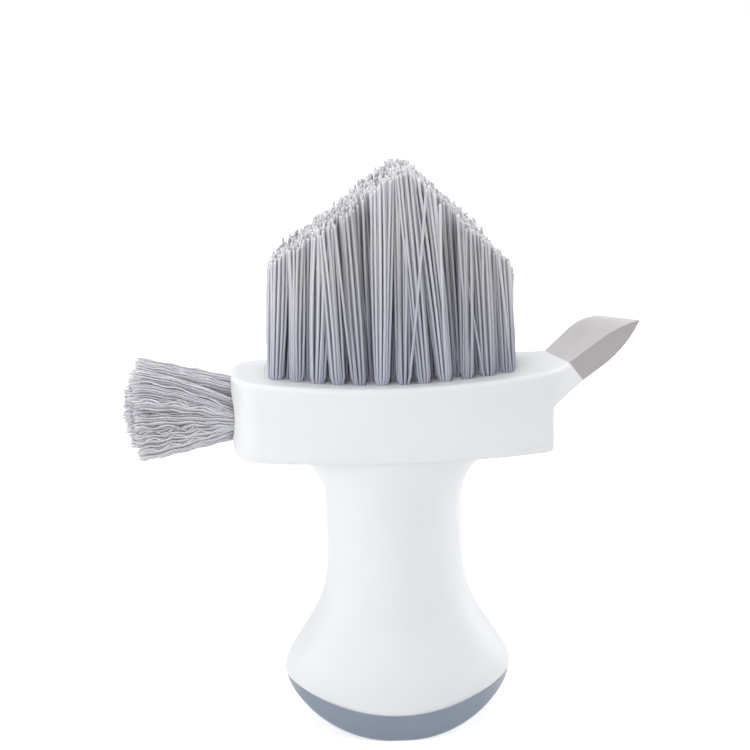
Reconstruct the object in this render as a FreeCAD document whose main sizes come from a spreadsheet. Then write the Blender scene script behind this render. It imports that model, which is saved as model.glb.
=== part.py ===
import FreeCAD, Part
import math
import os
import Sketcher

# Grout brush: a white hand brush with a V-trimmed bristle head on top, a crimped tuft at one end of
# the head, a grey scraper at the other end and a soft grey pad under the flared handle.
# Frame: millimetres, Z up, origin on the handle axis at the foot of the pad,
# the side tuft towards -X, the scraper towards +X, the front of the brush towards -Y.

SIZES = [
    # Head
    ("head_length", 72.8),
    ("head_depth_middle", 33.2),
    ("head_depth_end", 21.0),
    ("head_underside", 66.7),
    ("head_height", 17.8),
    ("head_top_dish", 1.4),
    ("head_left_corner", 9.0),
    ("head_right_corner", 1.5),
    ("head_edge_top", 1.2),
    ("head_edge_bottom", 2.0),
    ("head_floor", 2.5),
    # Collar and scraper, placed from the head's end and its top
    ("blade_slope", 36.0),
    ("collar_reach", 3.2),
    ("blade_root_rise", 3.4),
    ("blade_thickness", 5.2),
    ("blade_length", 18.1),
    ("blade_tip_drop", 1.8),
    ("blade_skew", 7.0),
    ("blade_far_lift", 1.0),
    ("collar_skew", 4.2),
    ("collar_foot_drop", 6.5),
    ("collar_ramp_run", 6.2),
    ("collar_blend_reach", 2.35),
    ("tang_length", 8.0),
    ("tang_width", 13.0),
    ("tang_thickness", 3.0),
    ("tang_hole", 3.6),
    ("tang_hole_spacing", 6.6),
    # Neck and flared handle
    ("neck_width", 31.5),
    ("neck_depth", 25.0),
    ("neck_blend_side", 13.0),
    ("neck_blend_margin", 0.5),
    ("neck_sink", 0.6),
    ("neck_straight", 8.3),
    ("neck_wall", 2.4),
    ("neck_roof", 3.2),
    ("rim_width", 53.2),
    ("rim_depth", 32.0),
    ("rim_height", 6.4),
    ("rim_bow", 6.8),
    # Plug and pad in the foot of the handle
    ("mouth_wall_side", 5.1),
    ("mouth_wall_front", 4.2),
    ("platform_rise", 0.8),
    ("carrier_height", 6.0),
    ("carrier_wall", 2.2),
    ("carrier_floor", 2.0),
    ("carrier_gap", 0.12),
    ("bead_height", 1.4),
    ("bead_reach", 0.4),
    ("pad_inset", 0.4),
    ("pad_end_wall", 1.3),
    ("pad_flat_width", 4.0),
    ("pad_edge", 1.0),
    # Bristle plate and tufts, placed from the head's sides and its top
    ("tuft_diameter", 2.5),
    ("tuft_depth", 5.0),
    ("bristle_rise", 46.7),
    ("bristle_apex_shift", 3.0),
    ("bristle_left_rise", 26.1),
    ("bristle_right_rise", 24.7),
    ("plate_land", 7.65),
    ("plate_wall_middle", 2.45),
    ("plate_wall_end", 1.95),
    ("plate_margin", 1.1),
    ("plate_thickness", 6.6),
    ("plate_corner", 3.0),
    ("plate_gap", 0.05),
    ("ledge_width", 1.3),
    ("anchor_thickness", 0.4),
    ("anchor_height", 1.6),
    ("anchor_bite", 0.2),
    # Side tuft and its socket in the head's end
    ("socket_floor", 2.6),
    ("socket_roof", 1.8),
    ("socket_depth", 5.0),
    ("side_tip_diameter", 23.4),
    ("side_reach", 23.4),
    ("side_crown", 2.4),
    ("side_ragged", 0.6),
    ("plug_thickness", 1.8),
]

# Rows of tufts on each side of the middle row, and the places of the tufts across a row
ROWS_EACH_SIDE = 11
ODD_ROW_SHARES = (-1.0, -1 / 3, 1 / 3, 1.0)
EVEN_ROW_SHARES = (-2 / 3, 0.0, 2 / 3)

# Rings of locks round the middle lock of the side tuft, how many more each next ring holds than the one
# inside it, and how much of its room a lock fills
LOCK_RINGS = 3
RING_GROWTH = 6
LOCK_FILL = 0.96

# Lengths for cutting blocks that only have to reach past the part
LONG_SPAN = 80.0
TALL_SPAN = 40.0
RAMP_LIMIT = 24.0
SPARE = 2.0

# Stations of the ovals that shape the handle: down the flare, and round the blend into the head
FLARE_STEPS = (0.0, 0.18, 0.34, 0.46, 0.56, 0.66, 0.76, 0.86, 0.94, 1.0)
FLARE_POWER = 1.7
DEPTH_LAG = 0.1
BLEND_ANGLES = (0.0, 20.0, 38.0, 54.0, 67.0, 77.0, 84.0)

# Shares of the scraper's length where its top starts to bend down and its underside to bend up
TOP_BEND = 0.5
BELLY_BEND = 0.28

# Distances for telling edges apart
SAME = 0.01
CLOSE = 0.1
NEAR = 0.6
SHORTEST_SIDE = 0.5
ABOVE_TOP = 0.3

doc = FreeCAD.newDocument("grout_brush")
sheet = doc.addObject("Spreadsheet::Sheet", "Sizes")


class Dim:
    """A size that carries both its sheet expression and its present number."""

    def __init__(self, text, number):
        self.text = text
        self.number = number

    def __add__(self, other):
        other = as_dim(other)
        return Dim(f"({self.text} + {other.text})", self.number + other.number)

    def __sub__(self, other):
        other = as_dim(other)
        return Dim(f"({self.text} - {other.text})", self.number - other.number)

    def __rsub__(self, other):
        return as_dim(other) - self

    def __mul__(self, other):
        other = as_dim(other)
        return Dim(f"({self.text} * {other.text})", self.number * other.number)

    def __truediv__(self, other):
        other = as_dim(other)
        return Dim(f"({self.text} / {other.text})", self.number / other.number)

    def __neg__(self):
        return Dim(f"(0 - {self.text})", -self.number)

    __radd__ = __add__
    __rmul__ = __mul__


def as_dim(value):
    """Return the value as a Dim."""
    if isinstance(value, Dim):
        return value
    return Dim(f"{value:.6f}", float(value))


def sine(angle):
    """Return the sine of a Dim in degrees."""
    return Dim(f"sin({angle.text} * 1 deg)", math.sin(math.radians(angle.number)))


def cosine(angle):
    """Return the cosine of a Dim in degrees."""
    return Dim(f"cos({angle.text} * 1 deg)", math.cos(math.radians(angle.number)))


def slope_of(rise, run):
    """Return the slope in degrees of a line from its rise and run."""
    text = f"(atan({rise.text} / {run.text}) / 1 deg)"
    return Dim(text, math.degrees(math.atan(rise.number / run.number)))


def root(value):
    """Return the square root of a Dim."""
    return Dim(f"sqrt({value.text})", math.sqrt(value.number))


def arc_radius(half_chord, rise):
    """Return the radius of an arc from half of its chord and its rise."""
    return (half_chord * half_chord + rise * rise) / (2 * rise)


def arc_to_slope(run, rise, slope):
    """Return the radius of an arc over a run and a rise that meets a line of a steeper slope smoothly."""
    return root(run * run + rise * rise) / (2 * sine(slope - slope_of(rise, run)))


size = {}
for line_number, (alias, number) in enumerate(SIZES, 1):
    sheet.set(f"A{line_number}", alias)
    sheet.set(f"B{line_number}", str(number))
    sheet.setAlias(f"B{line_number}", alias)
    size[alias] = Dim(f"Sizes.{alias}", number)
doc.recompute()


def bind(thing, name, value):
    """Bind a property of a document object to a size."""
    thing.setExpression(name, as_dim(value).text)


def place(thing, x=None, y=None, z=None):
    """Bind the position of a document object."""
    for axis, value in (("x", x), ("y", y), ("z", z)):
        if value is not None:
            bind(thing, f"Placement.Base.{axis}", value)


def lock_point(sketch, geometry, corner, x, y):
    """Fix one sketch point at a place given by two sizes."""
    for kind, value, axis in (("DistanceX", as_dim(x), -2), ("DistanceY", as_dim(y), -1)):
        if value.number == 0:
            sketch.addConstraint(Sketcher.Constraint("PointOnObject", geometry, corner, axis))
            continue
        index = sketch.addConstraint(
            Sketcher.Constraint(kind, -1, 1, geometry, corner, value.number))
        sketch.setExpression(f"Constraints[{index}]", value.text)


def outline_arc(start, end, radius):
    """Return the short arc between two points and its end numbers on the way from start to end.

    A radius above zero bulges to the right of the way, below zero to the left.
    """
    way = end - start
    half = way.Length / 2
    right = FreeCAD.Vector(way.y, -way.x, 0).normalize()
    reach = math.copysign(math.sqrt(radius * radius - half * half), radius)
    centre = (start + end) * 0.5 - right * reach
    circle = Part.Circle(centre, FreeCAD.Vector(0, 0, 1), abs(radius))
    start_angle = math.atan2(start.y - centre.y, start.x - centre.x)
    end_angle = math.atan2(end.y - centre.y, end.x - centre.x)
    if radius > 0:
        return Part.ArcOfCircle(circle, start_angle, end_angle), (1, 2)
    return Part.ArcOfCircle(circle, end_angle, start_angle), (2, 1)


def draw_outline(sketch, points, arcs=None):
    """Draw a closed outline through points; arcs maps a side number to its radius."""
    arcs = arcs or {}
    spots = [FreeCAD.Vector(as_dim(x).number, as_dim(y).number, 0) for x, y in points]
    ends = []
    for side, start in enumerate(spots):
        end = spots[(side + 1) % len(spots)]
        if side not in arcs:
            geometry = sketch.addGeometry(Part.LineSegment(start, end), False)
            ends.append((geometry, 1, 2))
            continue
        radius = as_dim(arcs[side])
        curve, corners = outline_arc(start, end, radius.number)
        geometry = sketch.addGeometry(curve, False)
        ends.append((geometry, *corners))
        index = sketch.addConstraint(Sketcher.Constraint("Radius", geometry, abs(radius.number)))
        sketch.setExpression(f"Constraints[{index}]", f"abs({radius.text})")
    for side, (geometry, first, _) in enumerate(ends):
        before, _, last = ends[side - 1]
        sketch.addConstraint(Sketcher.Constraint("Coincident", before, last, geometry, first))
        lock_point(sketch, geometry, first, *points[side])


def draw_circles(sketch, centres, diameter):
    """Draw circles of one diameter at the given centres."""
    for x, y in centres:
        middle = FreeCAD.Vector(as_dim(x).number, as_dim(y).number, 0)
        circle = Part.Circle(middle, FreeCAD.Vector(0, 0, 1), diameter.number / 2)
        geometry = sketch.addGeometry(circle, False)
        lock_point(sketch, geometry, 3, x, y)
        index = sketch.addConstraint(Sketcher.Constraint("Diameter", geometry, diameter.number))
        sketch.setExpression(f"Constraints[{index}]", diameter.text)


def new_body(name):
    """Return a new body."""
    return doc.addObject("PartDesign::Body", name)


def body_sketch(body, name, plane_role, shift=None):
    """Return a sketch on one of the body's own planes, moved along its normal by shift."""
    sketch = body.newObject("Sketcher::SketchObject", name)
    plane = next(item for item in body.Origin.OriginFeatures if item.Role == plane_role)
    sketch.AttachmentSupport = [(plane, "")]
    sketch.MapMode = "FlatFace"
    if shift is not None:
        bind(sketch, "AttachmentOffset.Base.z", shift)
    return sketch


def pad(body, name, sketch, length, middle=False):
    """Add a pad of the sketch."""
    feature = body.newObject("PartDesign::Pad", name)
    feature.Profile = sketch
    feature.Midplane = middle
    bind(feature, "Length", length)
    sketch.Visibility = False
    return feature


def pocket(body, name, sketch, length, middle=False, turned=False):
    """Cut the sketch out of the body."""
    feature = body.newObject("PartDesign::Pocket", name)
    feature.Profile = sketch
    feature.Midplane = middle
    feature.Reversed = turned
    bind(feature, "Length", length)
    sketch.Visibility = False
    return feature


def round_edges(body, name, test, radius):
    """Round the edges of the body's present shape that pass the test."""
    doc.recompute()
    before = body.Tip
    names = [f"Edge{n}" for n, edge in enumerate(before.Shape.Edges, 1) if test(edge)]
    feature = body.newObject("PartDesign::Fillet", name)
    feature.Base = (before, names)
    bind(feature, "Radius", radius)
    doc.recompute()
    return feature


def free_sketch(name, upright=False):
    """Return a sketch that stands alone, flat in XY or upright in XZ."""
    sketch = doc.addObject("Sketcher::SketchObject", name)
    if upright:
        turn = FreeCAD.Rotation(FreeCAD.Vector(1, 0, 0), 90)
        sketch.Placement = FreeCAD.Placement(FreeCAD.Vector(), turn)
    return sketch


def extrude(name, base, length, middle=False):
    """Return a solid drawn out of a flat base along its normal."""
    solid = doc.addObject("Part::Extrusion", name)
    solid.Base = base
    solid.DirMode = "Normal"
    solid.Solid = True
    solid.Symmetric = middle
    bind(solid, "LengthFwd", length)
    return solid


def oval(name, width, depth, height):
    """Return a flat oval line at a height."""
    line = doc.addObject("Part::Ellipse", name)
    bind(line, "MajorRadius", width / 2)
    bind(line, "MinorRadius", depth / 2)
    place(line, z=height)
    return line


def oval_block(name, width, depth, low, high):
    """Return an upright oval prism between two heights."""
    solid = extrude(name, oval(name + "_line", width, depth, low), high - low)
    solid.DirMode = "Custom"
    solid.Dir = FreeCAD.Vector(0, 0, 1)
    return solid


def cut(name, base, tool):
    """Return base less tool."""
    result = doc.addObject("Part::Cut", name)
    result.Base = base
    result.Tool = tool
    return result


def common(name, base, tool):
    """Return what two shapes share."""
    result = doc.addObject("Part::Common", name)
    result.Base = base
    result.Tool = tool
    return result


def fuse(name, shapes):
    """Return several shapes joined to one."""
    result = doc.addObject("Part::MultiFuse", name)
    result.Shapes = shapes
    result.Refine = True
    return result


def group(name, shapes):
    """Return several shapes kept apart under one name."""
    result = doc.addObject("Part::Compound", name)
    result.Links = shapes
    return result


HALF_LENGTH = size["head_length"] / 2
HALF_MIDDLE = size["head_depth_middle"] / 2
HALF_END = size["head_depth_end"] / 2
HEAD_TOP = size["head_underside"] + size["head_height"]
BLADE_ROOT_X = HALF_LENGTH + size["collar_reach"]
BLADE_ROOT_Z = HEAD_TOP + size["blade_root_rise"]
TUFT_FOOT = HEAD_TOP - size["tuft_depth"]
BRISTLE_APEX = HEAD_TOP + size["bristle_rise"]
PLATE_HALF_LENGTH = HALF_LENGTH - size["plate_land"]
PLATE_HALF_MIDDLE = HALF_MIDDLE - size["plate_wall_middle"]
PLATE_HALF_END = HALF_END - size["plate_wall_end"]
TUFT_REACH = size["tuft_diameter"] / 2 + size["plate_margin"]
OUTERMOST_ROW = PLATE_HALF_LENGTH - TUFT_REACH
SOCKET_DIAMETER = size["head_height"] + size["head_top_dish"] - size["socket_floor"] - size["socket_roof"]
SOCKET_AXIS = size["head_underside"] + size["socket_floor"] + SOCKET_DIAMETER / 2
RIM_END = size["rim_height"] + size["rim_bow"]
PLATFORM_TOP = RIM_END + size["platform_rise"]


def is_upright(edge):
    """Tell whether an edge runs straight along Z."""
    first, last = edge.Vertexes[0].Point, edge.Vertexes[-1].Point
    along = abs(first.z - last.z)
    return along > SHORTEST_SIDE and math.hypot(first.x - last.x, first.y - last.y) < SAME


def at_place(x, half_depth):
    """Return a test for upright edges at a place of the plan, on either side."""
    def test(edge):
        point = edge.Vertexes[0].Point
        near = abs(point.x - x) < NEAR and abs(abs(point.y) - half_depth) < NEAR
        return is_upright(edge) and near
    return test


def blade_point(along, below):
    """Return x and z of a point given along the scraper's slope and below its top face."""
    slope = size["blade_slope"]
    x = BLADE_ROOT_X + along * cosine(slope) + below * sine(slope)
    z = BLADE_ROOT_Z + along * sine(slope) - below * cosine(slope)
    return x, z


def draw_above_head(sketch):
    """Draw the space above the head's dished top and the ramp up to the scraper."""
    start_x = BLADE_ROOT_X - size["collar_ramp_run"]
    dish_radius = arc_radius(HALF_LENGTH, size["head_top_dish"])
    rise = dish_radius - root(dish_radius * dish_radius - start_x * start_x)
    left_rise = dish_radius - root(dish_radius * dish_radius - HALF_LENGTH * HALF_LENGTH)
    end_x, end_z = blade_point(as_dim(0.0), as_dim(0.0))
    far_x, far_z = blade_point(as_dim(RAMP_LIMIT), as_dim(0.0))
    ramp_run = end_x - start_x
    ramp_rise = end_z - HEAD_TOP - rise
    ramp_radius = arc_to_slope(ramp_run, ramp_rise, size["blade_slope"])
    roof = HEAD_TOP + TALL_SPAN
    outside = HALF_LENGTH + SPARE
    points = [
        (-outside, HEAD_TOP + left_rise),
        (-HALF_LENGTH, HEAD_TOP + left_rise),
        (start_x, HEAD_TOP + rise),
        (end_x, end_z),
        (far_x, far_z),
        (far_x, roof),
        (-outside, roof),
    ]
    draw_outline(sketch, points, {1: dish_radius, 2: ramp_radius})


def make_head_block():
    """Make the outside of the head with its scraper collar."""
    body = new_body("head_block")
    side_radius = arc_radius(HALF_LENGTH, HALF_MIDDLE - HALF_END)
    side_turn = slope_of(HALF_LENGTH, side_radius - HALF_MIDDLE + HALF_END)
    blend_radius = size["collar_blend_reach"] * cosine(side_turn / 2) / sine(side_turn / 2)
    collar_end = BLADE_ROOT_X + size["blade_thickness"] + SPARE
    plan = body_sketch(body, "head_plan", "XY_Plane", size["head_underside"])
    points = [
        (-HALF_LENGTH, -HALF_END),
        (HALF_LENGTH, -HALF_END),
        (collar_end, -HALF_END),
        (collar_end, HALF_END),
        (HALF_LENGTH, HALF_END),
        (-HALF_LENGTH, HALF_END),
    ]
    draw_outline(plan, points, {0: side_radius, 4: side_radius})
    pad(body, "head_plan_pad", plan, size["head_height"] + TALL_SPAN / 2)
    left_corner = at_place(-HALF_LENGTH.number, HALF_END.number)
    right_corner = at_place(HALF_LENGTH.number, HALF_END.number)
    round_edges(body, "head_left_corners", left_corner, size["head_left_corner"])
    round_edges(body, "collar_blends", right_corner, blend_radius)

    under = body_sketch(body, "under_collar", "XZ_Plane")
    foot_x, foot_z = blade_point(as_dim(0.0), size["blade_thickness"])
    far_x, far_z = blade_point(as_dim(RAMP_LIMIT), size["blade_thickness"])
    low = size["head_underside"] - SPARE
    points = [
        (HALF_LENGTH, low),
        (far_x, low),
        (far_x, far_z),
        (foot_x, foot_z),
        (HALF_LENGTH, HEAD_TOP - size["collar_foot_drop"]),
    ]
    draw_outline(under, points)
    pocket(body, "under_collar_cut", under, as_dim(LONG_SPAN), middle=True)
    round_edges(body, "head_right_corners", right_corner, size["head_right_corner"])

    above = body_sketch(body, "above_head", "XZ_Plane")
    draw_above_head(above)
    pocket(body, "above_head_cut", above, as_dim(LONG_SPAN), middle=True)

    def at_underside(edge):
        return all(abs(v.Point.z - size["head_underside"].number) < SAME for v in edge.Vertexes)

    def along_top(edge):
        middle = edge.valueAt((edge.FirstParameter + edge.LastParameter) / 2)
        on_collar_end = middle.x > BLADE_ROOT_X.number - CLOSE
        inner_line = abs(middle.y) < CLOSE and middle.x > 0
        high = min(v.Point.z for v in edge.Vertexes) > HEAD_TOP.number + ABOVE_TOP
        return high and not is_upright(edge) and not on_collar_end and not inner_line

    round_edges(body, "underside_edges", at_underside, size["head_edge_bottom"])
    round_edges(body, "top_edges", along_top, size["head_edge_top"])
    return body


def in_blade_frame(thing):
    """Put a thing in the scraper's own frame: x along its slope, z out of its top face."""
    turn = FreeCAD.Rotation(FreeCAD.Vector(0, -1, 0), size["blade_slope"].number)
    thing.Placement = FreeCAD.Placement(FreeCAD.Vector(), turn)
    bind(thing, "Placement.Rotation.Angle", size["blade_slope"])
    place(thing, x=BLADE_ROOT_X, z=BLADE_ROOT_Z)


def make_collar_trim():
    """Make the block that trims the collar to the slanted line where the scraper starts."""
    lean = size["collar_skew"] / size["head_depth_end"]
    near, far = -HALF_END - SPARE, HALF_END + SPARE
    sketch = free_sketch("collar_trim_plan")
    points = [
        (lean * SPARE, near),
        (as_dim(RAMP_LIMIT), near),
        (as_dim(RAMP_LIMIT), far),
        (-size["collar_skew"] - lean * SPARE, far),
    ]
    draw_outline(sketch, points)
    in_blade_frame(sketch)
    return extrude("collar_trim", sketch, as_dim(TALL_SPAN), middle=True)


def draw_blade_side(sketch, start, end, lift):
    """Draw the scraper's side from the collar to its sharp end, with the outer part lifted."""
    span = end - start
    thick = size["blade_thickness"]
    tip = lift - size["blade_tip_drop"]
    top_run = span * TOP_BEND
    top_slope = slope_of(lift, top_run)
    top_radius = arc_to_slope(span - top_run, size["blade_tip_drop"], -top_slope)
    belly_run = span * (1 - BELLY_BEND)
    points = [
        (start, as_dim(0.0)),
        (start + top_run, lift),
        (end, tip),
        (end - belly_run, -thick),
        (start, -thick),
    ]
    belly_radius = arc_radius(belly_run, tip + thick)
    draw_outline(sketch, points, {1: top_radius, 2: -belly_radius})


def make_scraper_blade():
    """Make the scraper: a slanted, tapering blade with a tang that the collar holds."""
    body = new_body("scraper_blade")
    in_blade_frame(body)
    near = body_sketch(body, "blade_near_side", "XZ_Plane", HALF_END)
    draw_blade_side(near, as_dim(0.0), size["blade_length"], as_dim(0.0))
    far = body_sketch(body, "blade_far_side", "XZ_Plane", -HALF_END)
    far_end = size["blade_length"] - size["blade_skew"]
    draw_blade_side(far, -size["collar_skew"], far_end, size["blade_far_lift"])
    loft = body.newObject("PartDesign::AdditiveLoft", "blade_form")
    loft.Profile = near
    loft.Sections = [far]
    loft.Ruled = True
    doc.recompute()

    middle_drop = size["blade_thickness"] / 2 + size["tang_thickness"] / 2
    tang_start = -(size["collar_skew"] / 2 + size["tang_length"])
    half = size["tang_width"] / 2
    tang = body_sketch(body, "tang_plan", "XY_Plane", -middle_drop)
    root_end = as_dim(SPARE)
    draw_outline(tang, [(tang_start, -half), (root_end, -half), (root_end, half), (tang_start, half)])
    pad(body, "tang_pad", tang, size["tang_thickness"])
    holes = body_sketch(body, "tang_holes", "XY_Plane", -middle_drop)
    hole_x = tang_start + size["tang_hole"]
    spacing = size["tang_hole_spacing"] / 2
    draw_circles(holes, [(hole_x, -spacing), (hole_x, spacing)], size["tang_hole"])
    pocket(body, "tang_hole_cut", holes, size["tang_thickness"], turned=True)
    doc.recompute()
    return body


def make_handle_form():
    """Make the outside of the neck and the flared handle as a loft through ovals."""
    rings = []
    neck_low = size["head_underside"] + size["neck_sink"] - size["neck_blend_side"]
    flare_top = neck_low - size["neck_straight"]
    blend_front = HALF_MIDDLE - size["neck_depth"] / 2 - size["neck_blend_margin"]
    grow_wide = size["rim_width"] - size["neck_width"]
    grow_deep = size["rim_depth"] - size["neck_depth"]
    foot = oval("ring_foot", size["rim_width"], size["rim_depth"], size["rim_height"] - SPARE)
    rings.append(foot)
    for step in reversed(FLARE_STEPS):
        eased = step ** FLARE_POWER
        share = eased * eased * (3 - 2 * eased)
        width = size["neck_width"] + grow_wide * share
        depth = size["neck_depth"] + grow_deep * (share - DEPTH_LAG * share * step)
        height = flare_top - (flare_top - RIM_END) * step
        rings.append(oval(f"ring_flare_{round(step * 100)}", width, depth, height))
    for angle in BLEND_ANGLES:
        out = 1 - math.cos(math.radians(angle))
        rise = math.sin(math.radians(angle))
        width = size["neck_width"] + 2 * size["neck_blend_side"] * out
        depth = size["neck_depth"] + 2 * blend_front * out
        rings.append(oval(f"ring_blend_{round(angle)}", width, depth,
                          neck_low + size["neck_blend_side"] * rise))
    loft = doc.addObject("Part::Loft", "handle_form")
    loft.Sections = rings
    loft.Solid = True
    return loft


def make_under_rim():
    """Make the block under the bowed rim of the handle."""
    half = size["rim_width"] / 2
    rim_radius = arc_radius(half, size["rim_bow"])
    sketch = free_sketch("under_rim_side", upright=True)
    low = as_dim(-SPARE)
    points = [
        (-half - SPARE, low),
        (half + SPARE, low),
        (half + SPARE, RIM_END),
        (half, RIM_END),
        (-half, RIM_END),
        (-half - SPARE, RIM_END),
    ]
    draw_outline(sketch, points, {3: -rim_radius})
    return extrude("under_rim", sketch, as_dim(LONG_SPAN), middle=True)


def sole_shape():
    """Return the half width of the sole's flat, and the rise and radius of the curves up to its ends."""
    flat = size["pad_flat_width"] / 2
    rise = RIM_END - size["pad_end_wall"]
    return flat, rise, arc_radius(size["rim_width"] / 2 - flat, rise)


def make_under_sole():
    """Make the block under the sole of the pad: a flat in the middle that curves up to both ends."""
    flat, rise, radius = sole_shape()
    half = size["rim_width"] / 2
    far = half + SPARE
    low = as_dim(-SPARE)
    foot = as_dim(0.0)
    points = [
        (-far, low),
        (far, low),
        (far, rise),
        (half, rise),
        (flat, foot),
        (-flat, foot),
        (-half, rise),
        (-far, rise),
    ]
    sketch = free_sketch("under_sole_side", upright=True)
    draw_outline(sketch, points, {3: -radius, 5: -radius})
    return extrude("under_sole", sketch, as_dim(LONG_SPAN), middle=True)


def make_plate_block(name, grow, low, length):
    """Make a block with the plan of the bristle plate, grown all round."""
    half_x = PLATE_HALF_LENGTH + grow
    half_middle = PLATE_HALF_MIDDLE + grow
    half_end = PLATE_HALF_END + grow
    side_radius = arc_radius(half_x, half_middle - half_end)
    body = new_body(name)
    plan = body_sketch(body, name + "_plan", "XY_Plane", low)
    points = [(-half_x, -half_end), (half_x, -half_end), (half_x, half_end), (-half_x, half_end)]
    draw_outline(plan, points, {0: side_radius, 2: side_radius})
    pad(body, name + "_pad", plan, length)
    corner = at_place(half_x.number, half_end.number)
    other_corner = at_place(-half_x.number, half_end.number)
    round_edges(body, name + "_corners", lambda edge: corner(edge) or other_corner(edge),
                size["plate_corner"])
    return body


def tuft_places(row):
    """Return the x and the y places of the tufts in one row across the head."""
    share = row / ROWS_EACH_SIDE
    x = OUTERMOST_ROW * share
    spread = PLATE_HALF_MIDDLE - TUFT_REACH - (PLATE_HALF_MIDDLE - PLATE_HALF_END) * share ** 2
    shares = ODD_ROW_SHARES if row % 2 else EVEN_ROW_SHARES
    return x, [spread * share if share else as_dim(0.0) for share in shares]


def make_row(row, name, under_trim):
    """Make one row of tufts and their anchors; return the tufts, the full prisms and the anchors."""
    x, places = tuft_places(row)
    sketch = free_sketch(name + "_plan")
    x = x if row else as_dim(0.0)
    draw_circles(sketch, [(x, y) for y in places], size["tuft_diameter"])
    place(sketch, z=TUFT_FOOT)
    prisms = extrude(name + "_prisms", sketch, BRISTLE_APEX - TUFT_FOOT + SPARE)
    trimmed = common(name + "_trimmed", prisms, under_trim)
    wide = size["tuft_diameter"] + 2 * size["anchor_bite"]
    anchors = []
    for number, y in enumerate(places, 1):
        anchor = doc.addObject("Part::Box", f"{name}_anchor_{number}")
        bind(anchor, "Length", size["anchor_thickness"])
        bind(anchor, "Width", wide)
        bind(anchor, "Height", size["anchor_height"])
        place(anchor, x - size["anchor_thickness"] / 2, y - wide / 2, TUFT_FOOT)
        anchors.append(anchor)
    tufts = cut(name, trimmed, group(name + "_anchors", anchors))
    return tufts, prisms, anchors


def make_under_trim():
    """Make the block under the V to which the bristles are trimmed."""
    apex = BRISTLE_APEX
    shift = size["bristle_apex_shift"]
    left_fall = (size["bristle_rise"] - size["bristle_left_rise"]) / (OUTERMOST_ROW + shift)
    right_fall = (size["bristle_rise"] - size["bristle_right_rise"]) / (OUTERMOST_ROW - shift)
    far = OUTERMOST_ROW + size["tuft_diameter"] + SPARE
    low = size["head_underside"]
    points = [
        (-far, low),
        (far, low),
        (far, apex - right_fall * (far - shift)),
        (shift, apex),
        (-far, apex - left_fall * (far + shift)),
    ]
    sketch = free_sketch("under_trim_side", upright=True)
    draw_outline(sketch, points)
    return extrude("under_trim", sketch, as_dim(LONG_SPAN), middle=True)


def turned_to_end(thing):
    """Turn a thing drawn along Z so that it points along -X, out of the head's left end."""
    turn = FreeCAD.Rotation(FreeCAD.Vector(0, 1, 0), -90)
    thing.Placement = FreeCAD.Placement(FreeCAD.Vector(), turn)


def socket_cylinder(name, start_x, length):
    """Return a cylinder as wide as the socket that lies along -X from a start."""
    solid = doc.addObject("Part::Cylinder", name)
    turned_to_end(solid)
    place(solid, x=start_x, z=SOCKET_AXIS)
    bind(solid, "Radius", SOCKET_DIAMETER / 2)
    bind(solid, "Height", length)
    return solid


def make_lock_end(name, ring, angle, run):
    """Make the round end of a lock at a run outwards from the head's end."""
    root_radius = SOCKET_DIAMETER / 2
    widening = (size["side_tip_diameter"] / 2 - root_radius) / size["side_reach"]
    room = (root_radius + widening * run) / (2 * LOCK_RINGS + 1)
    out = 2 * ring * room
    line = doc.addObject("Part::Circle", name)
    turned_to_end(line)
    place(line, -HALF_LENGTH - run, out * math.cos(angle), SOCKET_AXIS + out * math.sin(angle))
    bind(line, "Radius", room * LOCK_FILL)
    return line


def make_locks():
    """Make the locks of the side tuft: rings of strands that fan out, shorter towards the outside."""
    locks = []
    root_run = size["plug_thickness"] - size["socket_depth"]
    for ring in range(LOCK_RINGS + 1):
        count = max(RING_GROWTH * ring, 1)
        for number in range(count):
            angle = 2 * math.pi * number / count
            tip_run = (size["side_reach"] - size["side_crown"] * (ring / LOCK_RINGS) ** 2
                       - size["side_ragged"] * (number % 2))
            name = f"side_lock_{ring}_{number}"
            lock = doc.addObject("Part::Loft", name)
            lock.Sections = [make_lock_end(name + "_root", ring, angle, root_run),
                             make_lock_end(name + "_tip", ring, angle, tip_run)]
            lock.Solid = True
            lock.Ruled = True
            locks.append(lock)
    return locks


def make_side_tuft():
    """Make the side tuft, the set resin behind it and the socket they sit in."""
    socket_end = size["socket_depth"] - HALF_LENGTH
    socket = socket_cylinder("side_socket", socket_end, size["socket_depth"] + SPARE)
    plug = socket_cylinder("side_tuft_plug", socket_end, size["plug_thickness"])
    return socket, plug, group("side_tuft", make_locks())


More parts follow.
